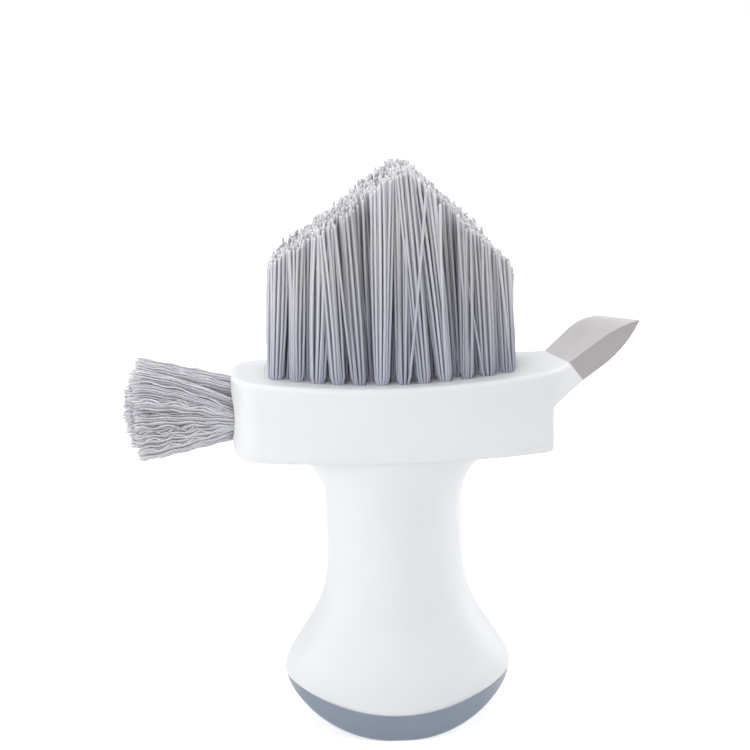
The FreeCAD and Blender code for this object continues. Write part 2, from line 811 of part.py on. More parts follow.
def make_foot():
    """Make the rigid carrier and the soft pad in the foot; return them with the cuts for the shell."""
    gap = 2 * size["carrier_gap"]
    mouth_wide = size["rim_width"] - 2 * size["mouth_wall_side"]
    mouth_deep = size["rim_depth"] - 2 * size["mouth_wall_front"]
    plug_wide, plug_deep = mouth_wide - gap, mouth_deep - gap
    carrier_low = PLATFORM_TOP
    seat = carrier_low + size["carrier_height"]
    bead_low = carrier_low + size["carrier_height"] / 2 - size["bead_height"] / 2
    bead_high = bead_low + size["bead_height"]
    reach = 2 * size["bead_reach"]
    plug = oval_block("carrier_plug", plug_wide, plug_deep, carrier_low, seat)
    bead = oval_block("carrier_bead", plug_wide + reach, plug_deep + reach, bead_low, bead_high)
    thin = 2 * size["carrier_wall"]
    inside = oval_block("carrier_inside", plug_wide - thin, plug_deep - thin,
                        carrier_low + size["carrier_floor"], seat + SPARE)
    carrier = cut("pad_carrier", fuse("carrier_outside", [plug, bead]), inside)

    mouth = oval_block("mouth", mouth_wide, mouth_deep, as_dim(0.0), seat)
    groove = oval_block("bead_groove", mouth_wide + reach, mouth_deep + reach,
                        bead_low - size["carrier_gap"], bead_high + size["carrier_gap"])
    neck_walls = 2 * size["neck_wall"]
    bore = oval_block("neck_bore", size["neck_width"] - neck_walls, size["neck_depth"] - neck_walls,
                      seat - SPARE, size["head_underside"] - size["neck_roof"])

    inset = 2 * size["pad_inset"]
    under_rim = make_under_rim()
    skirt = oval_block("pad_skirt", size["rim_width"] - inset, size["rim_depth"] - inset, as_dim(0.0),
                       RIM_END + SPARE)
    outer = common("pad_outer", skirt, under_rim)
    platform = oval_block("pad_platform", plug_wide, plug_deep, size["rim_height"] - SPARE, carrier_low)
    rough = cut("pad_rough", fuse("pad_joined", [outer, platform]), make_under_sole())
    doc.recompute()
    soft = new_body("palm_pad")
    soft.BaseFeature = rough
    round_edges(soft, "pad_edges", is_sole_edge, size["pad_edge"])
    return carrier, soft, under_rim, [mouth, groove, bore]


def is_sole_edge(edge):
    """Tell whether an edge lies where the pad's wall meets its sole."""
    wide = size["rim_width"].number / 2 - size["pad_inset"].number
    deep = size["rim_depth"].number / 2 - size["pad_inset"].number
    middle = edge.valueAt((edge.FirstParameter + edge.LastParameter) / 2)
    on_wall = abs((middle.x / wide) ** 2 + (middle.y / deep) ** 2 - 1) < SAME
    flat, _, radius = sole_shape()
    run = max(abs(middle.x) - flat.number, 0)
    sole = radius.number - math.sqrt(radius.number ** 2 - run ** 2)
    return on_wall and abs(middle.z - sole) < ABOVE_TOP


def make_handle_body(blade, under_rim, foot_cuts, socket):
    """Make the white body: head, neck and flared handle in one piece, hollow from both ends."""
    head = cut("head_trimmed", make_head_block(), make_collar_trim())
    handle = cut("handle_bowed", make_handle_form(), under_rim)
    outside = fuse("body_outside", [head, handle])
    plate_low = HEAD_TOP - size["plate_thickness"]
    seat = make_plate_block("plate_seat", size["plate_gap"], plate_low, as_dim(TALL_SPAN))
    floor = size["head_underside"] + size["head_floor"]
    hollow = make_plate_block("head_hollow", -size["ledge_width"], floor, plate_low - floor + SPARE)
    tools = fuse("body_cuts", foot_cuts + [seat, hollow, socket])
    return cut("handle_body", cut("body_hollowed", outside, tools), blade)


def make_tuft_plate(prisms, anchors):
    """Make the plate that holds the tufts, with a hole for each tuft and a bite for each anchor."""
    plate_low = HEAD_TOP - size["plate_thickness"]
    block = make_plate_block("plate_block", as_dim(0.0), plate_low, as_dim(TALL_SPAN / 2))
    above = body_sketch(block, "above_plate", "XZ_Plane")
    draw_above_head(above)
    pocket(block, "above_plate_cut", above, as_dim(LONG_SPAN), middle=True)
    doc.recompute()
    return cut("tuft_plate", block, group("plate_holes", prisms + anchors))


def check_parts(parts):
    """Stop if any document object is in error or any sub-part is not one or more sound solids."""
    for thing in doc.Objects:
        if "Invalid" in thing.State or "Error" in thing.State:
            raise RuntimeError(f"{thing.Name} is in state {thing.State}")
    for thing in parts:
        shape = thing.Shape
        if shape.isNull() or not shape.isValid() or not shape.Solids:
            raise RuntimeError(f"{thing.Name} has no sound shape")


def main():
    """Build every sub-part, check it and write it."""
    blade = make_scraper_blade()
    carrier, soft_pad, under_rim, foot_cuts = make_foot()
    socket, plug, side_tuft = make_side_tuft()
    handle = make_handle_body(blade, under_rim, foot_cuts, socket)
    under_trim = make_under_trim()
    rows, prisms, anchors = [], [], []
    for number, row in enumerate(range(-ROWS_EACH_SIDE, ROWS_EACH_SIDE + 1), 1):
        tufts, row_prisms, row_anchors = make_row(row, f"bristle_row_{number:02d}", under_trim)
        rows.append(tufts)
        prisms.append(row_prisms)
        anchors.extend(row_anchors)
    plate = make_tuft_plate(prisms, anchors)
    staples = group("tuft_anchors", anchors)
    doc.recompute()

    parts = [handle, plate, staples, blade, side_tuft, plug, carrier, soft_pad] + rows
    check_parts(parts)
    os.makedirs("parts", exist_ok=True)
    for thing in parts:
        thing.Label = thing.Name
        thing.Shape.exportStep(f"parts/{thing.Label}.step")
        box = thing.Shape.BoundBox
        print(f"{thing.Label}: {len(thing.Shape.Solids)} solids, {thing.Shape.Volume:.1f} mm3, "
              f"x {box.XMin:.2f} {box.XMax:.2f} y {box.YMin:.2f} {box.YMax:.2f} "
              f"z {box.ZMin:.2f} {box.ZMax:.2f}")


main()
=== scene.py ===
import logging
import math
from dataclasses import dataclass
from enum import Enum
from typing import Iterable, Optional, Union

import bpy
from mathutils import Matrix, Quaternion, Vector


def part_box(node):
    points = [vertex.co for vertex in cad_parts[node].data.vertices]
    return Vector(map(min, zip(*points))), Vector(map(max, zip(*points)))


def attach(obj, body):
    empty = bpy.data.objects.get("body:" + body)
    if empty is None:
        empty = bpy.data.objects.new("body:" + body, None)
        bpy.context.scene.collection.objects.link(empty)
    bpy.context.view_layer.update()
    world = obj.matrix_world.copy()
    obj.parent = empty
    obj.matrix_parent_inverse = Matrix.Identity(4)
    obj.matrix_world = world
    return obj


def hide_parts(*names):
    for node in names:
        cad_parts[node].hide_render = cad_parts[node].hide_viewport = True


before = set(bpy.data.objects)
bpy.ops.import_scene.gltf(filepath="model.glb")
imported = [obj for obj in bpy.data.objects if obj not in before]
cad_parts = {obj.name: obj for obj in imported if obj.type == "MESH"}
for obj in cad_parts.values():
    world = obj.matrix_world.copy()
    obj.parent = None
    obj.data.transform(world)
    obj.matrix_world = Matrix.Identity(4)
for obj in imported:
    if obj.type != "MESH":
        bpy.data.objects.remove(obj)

# Looks of a white grout brush with V-cut bristles, a crimped side tuft, a grey scraper and a soft palm pad.
# Lengths are in metres, and names that end in _mm are in millimetres.

LOG = logging.getLogger("grout_brush")
MM = 0.001
FULL_TURN = 2 * math.pi
GOLDEN_TURN = math.radians(137.508)
ROOT_BODY = "root"
VECTOR_DATA = "FLOAT_VECTOR"

# Sockets that share a name with others of their node are found by number.
RANDOM_LOW = 2
RANDOM_HIGH = 3
RANDOM_RESULT = 1
MIX_FIRST = 6
MIX_SECOND = 7
MIX_RESULT = 2

Triple = tuple[float, float, float]
Range = tuple[float, float]
Colour = Triple
Number = Union[float, int, "Field"]

# White, or a tint or stretch that changes nothing.
PLAIN: Triple = (1.0, 1.0, 1.0)


class Slot(str, Enum):
    """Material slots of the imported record."""

    WHITE_BODY = "white_body"
    CARRIER = "carrier_white"
    SCRAPER = "scraper_grey"
    PAD = "pad_grey"
    BRISTLE = "bristle"
    SIDE_BRISTLE = "side_bristle"
    ANCHOR = "anchor_wire"
    RESIN = "set_resin"


class Trait(str, Enum):
    """Names of the attributes that filaments carry for their shape and their finish."""

    TONE = "tone"
    ALONG = "along"
    FOOT = "foot"
    LEAN = "lean"
    TUFT_FOOT = "tuft_foot"
    TUFT_LEAN = "tuft_lean"
    TUFT_TONE = "tuft_tone"
    DISC = "disc"
    PHASE = "phase"
    SWAY = "sway"
    OFFSET = "offset"
    PALE = "pale"


class Draw(Enum):
    """A random draw, by the number that is added to the seed of a piece."""


class RowDraw(Draw):
    """Random draws of one row of tufts."""

    TUFT_ACROSS = 0
    TUFT_DEEP = 1
    TONE = 2
    LEAN_ACROSS = 3
    LEAN_DEEP = 4
    LENGTH = 5
    TUFT_TONE = 6
    STRAY = 7


class SideDraw(Draw):
    """Random draws of the side tuft."""

    PHASE = 0
    SWAY = 1
    LOCK_TONE = 2
    LENGTH = 3
    TONE = 4
    PALE = 5


class Field:
    """A number in a node tree that can be reckoned with."""

    def __init__(self, graph: "Graph", socket: bpy.types.NodeSocket) -> None:
        """Keep the socket and the graph that it belongs to."""
        self.graph = graph
        self.socket = socket

    def __add__(self, other: Number) -> "Field":
        """Return the sum."""
        return self.graph.math("ADD", self, other)

    def __sub__(self, other: Number) -> "Field":
        """Return the difference."""
        return self.graph.math("SUBTRACT", self, other)

    def __rsub__(self, other: Number) -> "Field":
        """Return the difference with the field taken off."""
        return self.graph.math("SUBTRACT", other, self)

    def __mul__(self, other: Number) -> "Field":
        """Return the product."""
        return self.graph.math("MULTIPLY", self, other)

    def __truediv__(self, other: Number) -> "Field":
        """Return the quotient."""
        return self.graph.math("DIVIDE", self, other)

    def __pow__(self, other: Number) -> "Field":
        """Return the power."""
        return self.graph.math("POWER", self, other)

    __radd__ = __add__


class Graph:
    """A node tree with short calls for adding nodes, links and sums."""

    def __init__(self, tree: bpy.types.NodeTree) -> None:
        """Keep the tree that nodes are added to."""
        self.tree = tree

    def add(self, kind: str, **settings: object) -> bpy.types.Node:
        """Add a node.

        Args:
            kind: Blender's name of the node type.
            settings: Properties of the node to set.

        Returns:
            The new node.
        """
        node = self.tree.nodes.new(kind)
        for name, value in settings.items():
            setattr(node, name, value)
        return node

    def feed(self, socket: bpy.types.NodeSocket, value: object) -> None:
        """Set an input to a plain value, or link it to a field or a socket.

        Args:
            socket: The input.
            value: A plain value, a Field or an output socket.
        """
        if isinstance(value, Field):
            self.tree.links.new(value.socket, socket)
        elif isinstance(value, bpy.types.NodeSocket):
            self.tree.links.new(value, socket)
        else:
            socket.default_value = value

    def math(self, operation: str, first: Number, second: Optional[Number] = None) -> Field:
        """Add one sum.

        Args:
            operation: Blender's name of the operation.
            first: The first number.
            second: The second number, if the operation has one.

        Returns:
            The result.
        """
        node = self.add("ShaderNodeMath", operation=operation)
        self.feed(node.inputs[0], first)
        if second is not None:
            self.feed(node.inputs[1], second)
        return Field(self, node.outputs[0])

    def vector(self, x: Number, y: Number, z: Number) -> bpy.types.NodeSocket:
        """Make a vector of three numbers.

        Args:
            x: The number along X.
            y: The number along Y.
            z: The number along Z.

        Returns:
            The vector.
        """
        node = self.add("ShaderNodeCombineXYZ")
        for socket, value in zip(node.inputs, (x, y, z)):
            self.feed(socket, value)
        return node.outputs[0]

    def parts(self, vector: bpy.types.NodeSocket) -> tuple[Field, Field, Field]:
        """Take a vector apart.

        Args:
            vector: The vector.

        Returns:
            Its three numbers.
        """
        node = self.add("ShaderNodeSeparateXYZ")
        self.feed(node.inputs[0], vector)
        return tuple(Field(self, socket) for socket in node.outputs)

    def within_one(self, value: Number) -> Field:
        """Return a number kept between 0 and 1."""
        return self.math("MINIMUM", self.math("MAXIMUM", value, 0.0), 1.0)


class GeometryGraph(Graph):
    """A Geometry Nodes tree with named inputs, for one modifier."""

    def __init__(self, name: str) -> None:
        """Make an empty tree with a geometry input and output.

        Args:
            name: The tree's name.
        """
        super().__init__(bpy.data.node_groups.new(name, "GeometryNodeTree"))
        self.tree.interface.new_socket("Geometry", in_out="OUTPUT", socket_type="NodeSocketGeometry")
        self.tree.interface.new_socket("Geometry", in_out="INPUT", socket_type="NodeSocketGeometry")
        self.entry = self.add("NodeGroupInput")
        self.exit = self.add("NodeGroupOutput")
        self.identifiers: dict[str, str] = {}

    @property
    def geometry(self) -> bpy.types.NodeSocket:
        """The geometry that comes in."""
        return self.entry.outputs["Geometry"]

    def given(self, name: str, kind: str = "NodeSocketFloat") -> Field:
        """Add a named input to the tree.

        Args:
            name: The input's name.
            kind: Blender's name of the socket type.

        Returns:
            The input as a field.
        """
        item = self.tree.interface.new_socket(name, in_out="INPUT", socket_type=kind)
        self.identifiers[name] = item.identifier
        socket = next(out for out in self.entry.outputs if out.identifier == item.identifier)
        return Field(self, socket)

    def named(self, trait: Trait, kind: str = "FLOAT") -> bpy.types.NodeSocket:
        """Read a stored attribute.

        Args:
            trait: The attribute's name.
            kind: Blender's name of the data type.

        Returns:
            The attribute.
        """
        node = self.add("GeometryNodeInputNamedAttribute", data_type=kind)
        node.inputs["Name"].default_value = trait.value
        return node.outputs["Attribute"]

    def stored(self, trait: Trait) -> Field:
        """Return a stored number."""
        return Field(self, self.named(trait))

    def stored_parts(self, trait: Trait) -> tuple[Field, Field, Field]:
        """Return the three numbers of a stored vector."""
        return self.parts(self.named(trait, VECTOR_DATA))

    def store(self, geometry: bpy.types.NodeSocket, trait: Trait, value: object,
              kind: str = "FLOAT") -> bpy.types.NodeSocket:
        """Store an attribute on the points of a geometry.

        Args:
            geometry: The geometry to store on.
            trait: The attribute's name.
            value: The value of each point.
            kind: Blender's name of the data type.

        Returns:
            The geometry with the attribute.
        """
        node = self.add("GeometryNodeStoreNamedAttribute", data_type=kind, domain="POINT")
        self.feed(node.inputs["Geometry"], geometry)
        node.inputs["Name"].default_value = trait.value
        self.feed(node.inputs["Value"], value)
        return node.outputs[0]

    def random(self, low: Number, high: Number, seed: Field, draw: Draw) -> Field:
        """Draw a number for each point, even between two limits.

        Args:
            low: The lower limit.
            high: The upper limit.
            seed: The seed of the piece.
            draw: Which of the piece's draws this is.

        Returns:
            The number.
        """
        node = self.add("FunctionNodeRandomValue", data_type="FLOAT")
        self.feed(node.inputs[RANDOM_LOW], low)
        self.feed(node.inputs[RANDOM_HIGH], high)
        self.feed(node.inputs["Seed"], seed + draw.value)
        return Field(self, node.outputs[RANDOM_RESULT])

    def index(self) -> Field:
        """Return each point's number."""
        return Field(self, self.add("GeometryNodeInputIndex").outputs[0])

    def position(self) -> bpy.types.NodeSocket:
        """Return each point's place."""
        return self.add("GeometryNodeInputPosition").outputs[0]

    def points(self, count: Number, place: bpy.types.NodeSocket) -> bpy.types.NodeSocket:
        """Make points at places that follow their index.

        Args:
            count: How many points.
            place: The place by index.

        Returns:
            The points.
        """
        node = self.add("GeometryNodePoints")
        self.feed(node.inputs["Count"], count)
        self.feed(node.inputs["Position"], place)
        return node.outputs[0]

    def spread(self, points: bpy.types.NodeSocket, instance: bpy.types.NodeSocket) -> bpy.types.NodeSocket:
        """Put a real copy of a geometry on each point.

        Args:
            points: The points.
            instance: The geometry to copy.

        Returns:
            The copies.
        """
        node = self.add("GeometryNodeInstanceOnPoints")
        self.feed(node.inputs["Points"], points)
        self.feed(node.inputs["Instance"], instance)
        real = self.add("GeometryNodeRealizeInstances")
        self.feed(real.inputs["Geometry"], node.outputs[0])
        return real.outputs[0]

    def strand(self, stations: int) -> bpy.types.NodeSocket:
        """Make one straight upright curve.

        Args:
            stations: How many stations it has.

        Returns:
            The curve.
        """
        line = self.add("GeometryNodeCurvePrimitiveLine")
        line.inputs["End"].default_value = (0.0, 0.0, MM)
        again = self.add("GeometryNodeResampleCurve")
        self.feed(again.inputs["Curve"], line.outputs[0])
        again.inputs["Count"].default_value = stations
        return again.outputs[0]

    def factor(self) -> Field:
        """Return how far along its curve a point is, from 0 to 1."""
        return Field(self, self.add("GeometryNodeSplineParameter").outputs["Factor"])

    def moved(self, geometry: bpy.types.NodeSocket, place: bpy.types.NodeSocket) -> bpy.types.NodeSocket:
        """Move the points of a geometry.

        Args:
            geometry: The geometry.
            place: The new place of each point.

        Returns:
            The moved geometry.
        """
        node = self.add("GeometryNodeSetPosition")
        self.feed(node.inputs["Geometry"], geometry)
        self.feed(node.inputs["Position"], place)
        return node.outputs[0]

    def finish_tubes(self, curves: bpy.types.NodeSocket, radius: Number, sides: int, finish: Field) -> None:
        """Turn curves to smooth capped tubes and hand them to the output.

        Args:
            curves: The curves.
            radius: The tubes' radius.
            sides: How many sides a tube has.
            finish: The material input.
        """
        ring = self.add("GeometryNodeCurvePrimitiveCircle", mode="RADIUS")
        ring.inputs["Resolution"].default_value = sides
        self.feed(ring.inputs["Radius"], radius)
        tubes = self.add("GeometryNodeCurveToMesh")
        self.feed(tubes.inputs["Curve"], curves)
        self.feed(tubes.inputs["Profile Curve"], ring.outputs[0])
        tubes.inputs["Fill Caps"].default_value = True
        smooth = self.add("GeometryNodeSetShadeSmooth")
        self.feed(smooth.inputs[0], tubes.outputs[0])
        paint = self.add("GeometryNodeSetMaterial")
        self.feed(paint.inputs["Geometry"], smooth.outputs[0])
        self.feed(paint.inputs["Material"], finish)
        self.feed(self.exit.inputs["Geometry"], paint.outputs[0])

    def run(self, name: str, seeds: list[Vector], values: dict[str, object]) -> bpy.types.Object:
        """Run the tree over a few starting points and return a plain mesh piece.

        Args:
            name: The name of the piece.
            seeds: The starting points.
            values: The tree's inputs by name.

        Returns:
            The new piece, at the origin.
        """
        mesh = bpy.data.meshes.new(name + "_seeds")
        mesh.from_pydata([tuple(seed) for seed in seeds], [], [])
        holder = bpy.data.objects.new(name + "_seeds", mesh)
        bpy.context.scene.collection.objects.link(holder)
        modifier = holder.modifiers.new(name, "NODES")
        modifier.node_group = self.tree
        for key, value in values.items():
            modifier[self.identifiers[key]] = value
        holder.update_tag()
        bpy.context.view_layer.update()
        evaluated = holder.evaluated_get(bpy.context.evaluated_depsgraph_get())
        result = bpy.data.meshes.new_from_object(evaluated)
        result.name = name
        piece = bpy.data.objects.new(name, result)
        bpy.context.scene.collection.objects.link(piece)
        holder.modifiers.remove(modifier)
        bpy.data.objects.remove(holder)
        return piece


class ShaderGraph(Graph):
    """The node tree of one material, with its main shader."""

    def __init__(self, name: str) -> None:
        """Make an empty material with a main shader.

        Args:
            name: The material's name.
        """
        self.material = bpy.data.materials.new(name)
        self.material.use_nodes = True
        super().__init__(self.material.node_tree)
        self.tree.nodes.clear()
        self.shader = self.add("ShaderNodeBsdfPrincipled")
        output = self.add("ShaderNodeOutputMaterial")
        self.feed(output.inputs["Surface"], self.shader.outputs[0])

    def setting(self, name: str, value: object) -> None:
        """Set or link one input of the main shader."""
        self.feed(self.shader.inputs[name], value)

    def noise(self, size_mm: float, detail: float = 2.0, stretch: Triple = PLAIN) -> Field:
        """Return a soft noise.

        Args:
            size_mm: The width of its spots.
            detail: How much finer detail it has.
            stretch: How much finer it is along each axis.

        Returns:
            The noise, around a half.
        """
        place = self.add("ShaderNodeTexCoord")
        turn = self.add("ShaderNodeMapping")
        self.feed(turn.inputs["Vector"], place.outputs["Object"])
        turn.inputs["Scale"].default_value = stretch
        texture = self.add("ShaderNodeTexNoise")
        self.feed(texture.inputs["Vector"], turn.outputs[0])
        texture.inputs["Scale"].default_value = 1.0 / (size_mm * MM)
        texture.inputs["Detail"].default_value = detail
        return Field(self, texture.outputs[0])

    def attribute(self, trait: Trait) -> Field:
        """Return a number that the mesh carries."""
        node = self.add("ShaderNodeAttribute", attribute_name=trait.value)
        return Field(self, node.outputs["Fac"])

    def blend(self, share: Field, low: Colour, high: Colour) -> bpy.types.NodeSocket:
        """Mix two colours.

        Args:
            share: The share of the second colour, from 0 to 1.
            low: The first colour.
            high: The second colour.

        Returns:
            The colour between them.
        """
        node = self.add("ShaderNodeMix", data_type="RGBA")
        self.feed(node.inputs["Factor"], share)
        node.inputs[MIX_FIRST].default_value = (*low, 1.0)
        node.inputs[MIX_SECOND].default_value = (*high, 1.0)
        return node.outputs[MIX_RESULT]

    def tinted(self, colour: bpy.types.NodeSocket, tint: bpy.types.NodeSocket) -> bpy.types.NodeSocket:
        """Multiply a colour by a tint.

        Args:
            colour: The colour.
            tint: The tint.

        Returns:
            The tinted colour.
        """
        node = self.add("ShaderNodeMix", data_type="RGBA", blend_type="MULTIPLY")
        node.inputs["Factor"].default_value = 1.0
        self.feed(node.inputs[MIX_FIRST], colour)
        self.feed(node.inputs[MIX_SECOND], tint)
        return node.outputs[MIX_RESULT]

    def limited(self, value: Field, from_low: float, from_high: float,
                to_low: float, to_high: float) -> Field:
        """Move a value from one range to another and keep it there.

        Args:
            value: The value.
            from_low: The low end of its own range.
            from_high: The high end of its own range.
            to_low: The low end of the new range.
            to_high: The high end of the new range.

        Returns:
            The value in the new range.
        """
        node = self.add("ShaderNodeMapRange")
        for socket, given in zip(node.inputs, (value, from_low, from_high, to_low, to_high)):
            self.feed(socket, given)
        return Field(self, node.outputs[0])

    def bump(self, height: Field, depth_mm: float) -> None:
        """Give the surface a relief.

        Args:
            height: The relief, from 0 to 1.
            depth_mm: How deep it is.
        """
        node = self.add("ShaderNodeBump")
        node.inputs["Distance"].default_value = depth_mm * MM
        self.feed(node.inputs["Height"], height)
        self.setting("Normal", node.outputs[0])


@dataclass(frozen=True)
class MouldedFinish:
    """Plastic, rubber, resin or wire: two close colours in soft clouds, a fine grain and an uneven gloss."""

    name: str
    light: Colour
    dark: Colour
    rough_low: float
    rough_high: float
    cloud_mm: float
    grain_mm: float
    grain_depth_mm: float
    sheen: float = 0.0
    specular: float = 0.5
    metal: float = 0.0
    cloud_detail: float = 3.0
    cloud_range: Range = (0.3, 0.7)
    grain_detail: float = 2.0
    grain_range: Range = (0.25, 0.75)

    def material(self) -> bpy.types.Material:
        """Make the material.

        Returns:
            The new material.
        """
        graph = ShaderGraph(self.name)
        cloud = graph.noise(self.cloud_mm, detail=self.cloud_detail)
        grain = graph.noise(self.grain_mm, detail=self.grain_detail)
        share = graph.limited(cloud, *self.cloud_range, 0.0, 1.0)
        graph.setting("Base Color", graph.blend(share, self.dark, self.light))
        graph.setting("Roughness", graph.limited(grain, *self.grain_range, self.rough_low, self.rough_high))
        graph.setting("Specular IOR Level", self.specular)
        graph.setting("Sheen Weight", self.sheen)
        graph.setting("Metallic", self.metal)
        graph.bump(grain, self.grain_depth_mm)
        return graph.material


@dataclass(frozen=True)
class FilamentFinish:
    """Drawn nylon filament: a tone of its own, a painted shade that darkens and blues it towards its foot, a
    tint where it is cut, and draw lines.
    """

    name: str
    light: Colour
    dark: Colour
    painted_foot_shade: Colour
    painted_shade_end: float
    cut_tint: Colour
    rough: float
    streak_mm: float
    streak_stretch: Triple
    streak_depth_mm: float
    glow_share: float = 0.35
    glow_mm: float = 1.2
    tone_share: float = 0.75
    cut_start: float = 0.985
    cut_full: float = 0.995
    streak_detail: float = 1.0
    streak_range: Range = (0.2, 0.8)
    rough_less: float = 0.06
    rough_more: float = 0.08
    specular: float = 0.4

    def material(self) -> bpy.types.Material:
        """Make the material.

        Returns:
            The new material.
        """
        graph = ShaderGraph(self.name)
        tone = graph.attribute(Trait.TONE)
        along = graph.attribute(Trait.ALONG)
        streak = graph.noise(self.streak_mm, detail=self.streak_detail, stretch=self.streak_stretch)
        mixed = tone * self.tone_share + streak * (1.0 - self.tone_share)
        share = graph.limited(mixed, 0.0, 1.0, 0.0, 1.0)
        # Painted shade: rise runs from 0 at the root to 1 part way up, and below that point the colour is
        # multiplied by the darker, bluer foot colour.
        rise = graph.limited(along, 0.0, self.painted_shade_end, 0.0, 1.0)
        cut = graph.limited(along, self.cut_start, self.cut_full, 0.0, 1.0)
        colour = graph.blend(share, self.dark, self.light)
        colour = graph.tinted(colour, graph.blend(rise, self.painted_foot_shade, PLAIN))
        colour = graph.tinted(colour, graph.blend(cut, PLAIN, self.cut_tint))
        graph.setting("Base Color", colour)
        rough_low = self.rough - self.rough_less
        rough_high = self.rough + self.rough_more
        graph.setting("Roughness", graph.limited(streak, *self.streak_range, rough_low, rough_high))
        graph.setting("Specular IOR Level", self.specular)
        graph.setting("Subsurface Weight", self.glow_share)
        graph.setting("Subsurface Radius", PLAIN)
        graph.setting("Subsurface Scale", self.glow_mm * MM)
        graph.bump(streak, self.streak_depth_mm)
        return graph.material


WHITE_PLASTIC = MouldedFinish(
    name="satin_white_plastic", light=(0.83, 0.84, 0.855), dark=(0.795, 0.81, 0.83),
    rough_low=0.40, rough_high=0.52, cloud_mm=22.0, grain_mm=0.28, grain_depth_mm=0.004)
HIDDEN_PLASTIC = MouldedFinish(
    name="plain_inner_plastic", light=(0.72, 0.72, 0.71), dark=(0.66, 0.66, 0.65),
    rough_low=0.5, rough_high=0.62, cloud_mm=14.0, grain_mm=0.4, grain_depth_mm=0.006)
SCRAPER_PLASTIC = MouldedFinish(
    name="satin_warm_grey_plastic", light=(0.41, 0.378, 0.39), dark=(0.38, 0.35, 0.362),
    rough_low=0.26, rough_high=0.34, cloud_mm=9.0, grain_mm=0.25, grain_depth_mm=0.002, sheen=0.8,
    specular=0.6)
PAD_RUBBER = MouldedFinish(
    name="soft_blue_grey_rubber", light=(0.192, 0.233, 0.307), dark=(0.174, 0.212, 0.282),
    rough_low=0.3, rough_high=0.38, cloud_mm=11.0, grain_mm=1.0, grain_depth_mm=0.001, sheen=1.0,
    specular=0.7)
SET_RESIN = MouldedFinish(
    name="set_resin", light=(0.58, 0.52, 0.40), dark=(0.5, 0.44, 0.33),
    rough_low=0.18, rough_high=0.3, cloud_mm=5.0, grain_mm=0.8, grain_depth_mm=0.01)
ANCHOR_WIRE = MouldedFinish(
    name="flat_cut_wire", light=(0.42, 0.42, 0.43), dark=(0.34, 0.34, 0.35),
    rough_low=0.28, rough_high=0.42, cloud_mm=2.0, grain_mm=0.12, grain_depth_mm=0.004, metal=1.0)
# Both filament finishes paint shade at the root: their foot colour darkens and blues the filament towards its
# foot.
STIFF_FILAMENT = FilamentFinish(
    name="stiff_grey_filament", light=(0.86, 0.855, 0.905), dark=(0.40, 0.395, 0.43),
    painted_foot_shade=(0.66, 0.72, 0.80), painted_shade_end=0.75, cut_tint=(1.25, 1.25, 1.22),
    rough=0.36, streak_mm=0.5, streak_stretch=(3.0, 3.0, 0.12), streak_depth_mm=0.01)
CRIMPED_FILAMENT = FilamentFinish(
    name="crimped_grey_filament", light=(0.91, 0.93, 0.985), dark=(0.69, 0.655, 0.72),
    painted_foot_shade=(0.92, 0.94, 0.97), painted_shade_end=0.5, cut_tint=PLAIN,
    rough=0.42, streak_mm=0.4, streak_stretch=(0.15, 3.0, 3.0), streak_depth_mm=0.006, glow_share=0.6)


def add_piece(piece: bpy.types.Object, nodes: Iterable[str]) -> None:
    """Let a piece ride on the brush in place of some CAD nodes.

    Args:
        piece: The piece.
        nodes: The CAD nodes that it stands for.
    """
    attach(piece, ROOT_BODY)
    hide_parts(*nodes)
    LOG.info("piece %s: %d faces", piece.name, len(piece.data.polygons))


def dress_node(node: str, material: bpy.types.Material) -> None:
    """Give a CAD node its material.

    Args:
        node: The node's name.
        material: The finished material.
    """
    mesh_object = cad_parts[node]
    mesh_object.data.materials.clear()
    mesh_object.data.materials.append(material)
    LOG.info("node %s wears %s", node, material.name)


@dataclass
class RigidParts:
    """The pieces that keep the shapes of their solids."""

    def dress(self) -> None:
        """Give each of these pieces its finish."""
        white = WHITE_PLASTIC.material()
        dress_node("handle_body", white)
        dress_node("tuft_plate", white)
        dress_node("scraper_blade", SCRAPER_PLASTIC.material())
        dress_node("palm_pad", PAD_RUBBER.material())
        dress_node("pad_carrier", HIDDEN_PLASTIC.material())
        dress_node("tuft_anchors", ANCHOR_WIRE.material())
        dress_node("side_tuft_plug", SET_RESIN.material())


